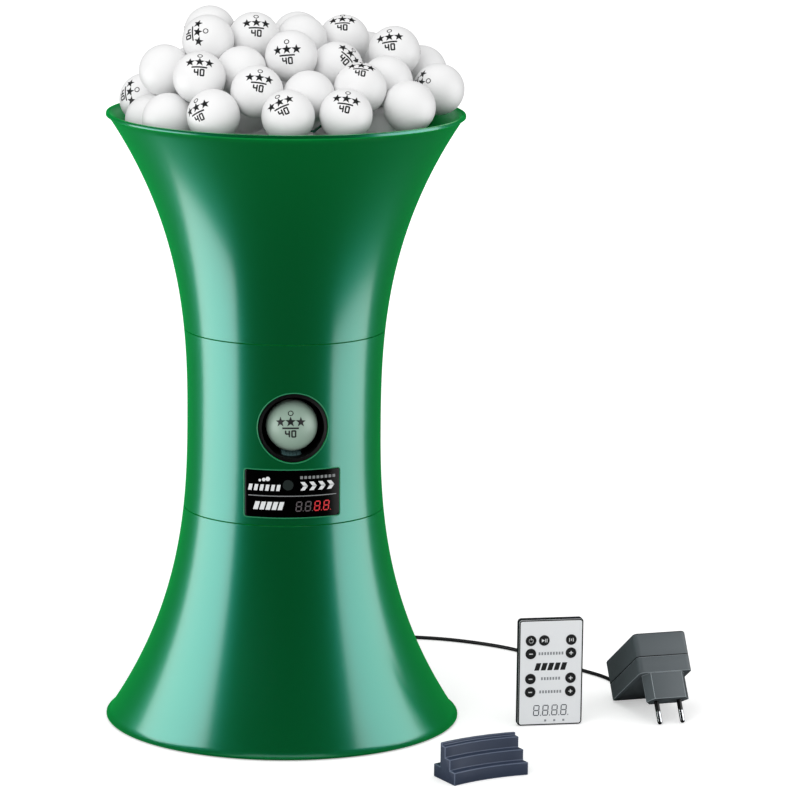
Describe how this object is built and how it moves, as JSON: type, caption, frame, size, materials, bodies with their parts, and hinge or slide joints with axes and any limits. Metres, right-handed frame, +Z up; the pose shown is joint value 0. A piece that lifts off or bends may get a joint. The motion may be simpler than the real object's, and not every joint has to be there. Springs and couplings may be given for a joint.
{
  "type": "table tennis robot",
  "caption": "Trumpet-shaped ball robot with an open hopper on top, a round muzzle and display in its waist, a stand, a remote control, a mains adapter on a lead and a tilting wedge.",
  "frame": {"origin": "floor under the middle of the box round the robot, its remote control and its wedge, without the lead and adapter", "axes": "+Z up along the robot's axis, -Y the way the muzzle shoots, +X to the right seen from behind the muzzle"},
  "size_m": [0.461, 0.463, 0.5615],
  "materials": {
    "green_shell": "satin moulded green plastic",
    "white_ball": "smooth white ball plastic",
    "dark_plastic": "dark grey moulded plastic",
    "black_plastic": "black moulded plastic",
    "panel_gloss": "polished black plastic",
    "grey_plastic": "grey moulded plastic",
    "remote_face": "silver white printed film",
    "teal_rubber": "soft teal grey rubber",
    "red_rubber": "soft dark red rubber",
    "foot_rubber": "black rubber",
    "key_rubber": "black silicone rubber",
    "slate_rubber": "dark slate blue rubber",
    "steel": "bright steel",
    "circuit_board": "green circuit board",
    "adapter_plastic": "dark grey fine-textured plastic",
    "cord_black": "black flexible lead"
  },
  "bodies": {
    "head": {"head_shell": "green_shell", "feed_deck": "dark_plastic", "deck_screw_1": "steel", "deck_screw_2": "steel", "deck_screw_3": "steel", "feed_gearbox": "black_plastic", "feed_motor": "steel", "ball_chute": "dark_plastic", "launch_frame": "black_plastic", "upper_motor": "steel", "lower_motor": "steel", "display_panel": "panel_gloss", "display_digits": "black_plastic", "infrared_receiver": "panel_gloss", "display_board": "circuit_board", "chassis": "dark_plastic", "control_board": "circuit_board", "power_jack": "black_plastic", "power_plug": "cord_black", "lead_drop": "cord_black", "lead_coil": "cord_black", "lead_run": "cord_black", "tilt_wedge": "slate_rubber", "adapter_cover": "adapter_plastic", "adapter_base": "adapter_plastic", "adapter_pin_1": "steel", "adapter_pin_2": "steel", "adapter_relief": "cord_black", "remote_back": "black_plastic", "remote_face": "remote_face", "remote_board": "circuit_board", "remote_eye": "panel_gloss"},
    "stand": {"stand_shell": "green_shell", "stand_cover": "dark_plastic", "foot_1": "foot_rubber", "foot_2": "foot_rubber", "foot_3": "foot_rubber", "foot_4": "foot_rubber"},
    "hopper": {"bowl": "green_shell", "ball_heap": "white_ball"},
    "rotor": {"feed_rotor": "grey_plastic"},
    "upper_wheel": {"upper_tyre": "red_rubber", "upper_hub": "grey_plastic"},
    "lower_wheel": {"lower_tyre": "teal_rubber", "lower_hub": "grey_plastic"},
    "held_ball": {"muzzle_ball": "white_ball"},
    "battery": {"battery_tray": "black_plastic", "coin_cell": "steel"},
    "button_power": {"key_power": "key_rubber"},
    "button_play": {"key_play": "key_rubber"},
    "button_mode": {"key_mode": "key_rubber"},
    "button_frequency_down": {"key_frequency_down": "key_rubber"},
    "button_frequency_up": {"key_frequency_up": "key_rubber"},
    "button_topspin_down": {"key_topspin_down": "key_rubber"},
    "button_topspin_up": {"key_topspin_up": "key_rubber"},
    "button_backspin_down": {"key_backspin_down": "key_rubber"},
    "button_backspin_up": {"key_backspin_up": "key_rubber"}
  },
  "joints": [
    {"name": "stand_twist", "type": "hinge", "parent": "head", "child": "stand", "pos_m": [-0.0467, 0.0374, 0.1696], "axis": [0, 0, 1], "range_deg": [0, 30]},
    {"name": "hopper_twist", "type": "hinge", "parent": "head", "child": "hopper", "pos_m": [-0.0467, 0.0374, 0.3107], "axis": [0, 0, 1], "range_deg": [0, 30]},
    {"name": "rotor_spin", "type": "hinge", "parent": "head", "child": "rotor", "pos_m": [-0.0467, 0.0374, 0.32], "axis": [0, 0, 1], "continuous": true},
    {"name": "upper_wheel_spin", "type": "hinge", "parent": "head", "child": "upper_wheel", "pos_m": [-0.0467, -0.0126, 0.2805], "axis": [1, 0, 0], "continuous": true},
    {"name": "lower_wheel_spin", "type": "hinge", "parent": "head", "child": "lower_wheel", "pos_m": [-0.0467, -0.0126, 0.2115], "axis": [1, 0, 0], "continuous": true},
    {"name": "ball_travel", "type": "slide", "parent": "head", "child": "held_ball", "axis": [0, -1, 0], "range_m": [0, 0.035]},
    {"name": "power_press", "type": "slide", "parent": "head", "child": "button_power", "axis": [-0.0541, 0.9985, 0], "range_m": [0, 0.0004], "stiffness_N_per_m": 800},
    {"name": "play_press", "type": "slide", "parent": "head", "child": "button_play", "axis": [-0.0541, 0.9985, 0], "range_m": [0, 0.0004], "stiffness_N_per_m": 800},
    {"name": "mode_press", "type": "slide", "parent": "head", "child": "button_mode", "axis": [-0.0541, 0.9985, 0], "range_m": [0, 0.0004], "stiffness_N_per_m": 800},
    {"name": "frequency_down_press", "type": "slide", "parent": "head", "child": "button_frequency_down", "axis": [-0.0541, 0.9985, 0], "range_m": [0, 0.0004], "stiffness_N_per_m": 800},
    {"name": "frequency_up_press", "type": "slide", "parent": "head", "child": "button_frequency_up", "axis": [-0.0541, 0.9985, 0], "range_m": [0, 0.0004], "stiffness_N_per_m": 800},
    {"name": "topspin_down_press", "type": "slide", "parent": "head", "child": "button_topspin_down", "axis": [-0.0541, 0.9985, 0], "range_m": [0, 0.0004], "stiffness_N_per_m": 800},
    {"name": "topspin_up_press", "type": "slide", "parent": "head", "child": "button_topspin_up", "axis": [-0.0541, 0.9985, 0], "range_m": [0, 0.0004], "stiffness_N_per_m": 800},
    {"name": "backspin_down_press", "type": "slide", "parent": "head", "child": "button_backspin_down", "axis": [-0.0541, 0.9985, 0], "range_m": [0, 0.0004], "stiffness_N_per_m": 800},
    {"name": "backspin_up_press", "type": "slide", "parent": "head", "child": "button_backspin_up", "axis": [-0.0541, 0.9985, 0], "range_m": [0, 0.0004], "stiffness_N_per_m": 800},
    {"name": "battery_slide", "type": "slide", "parent": "head", "child": "battery", "axis": [0.9985, 0.0541, 0], "range_m": [0, 0.024]}
  ]
}
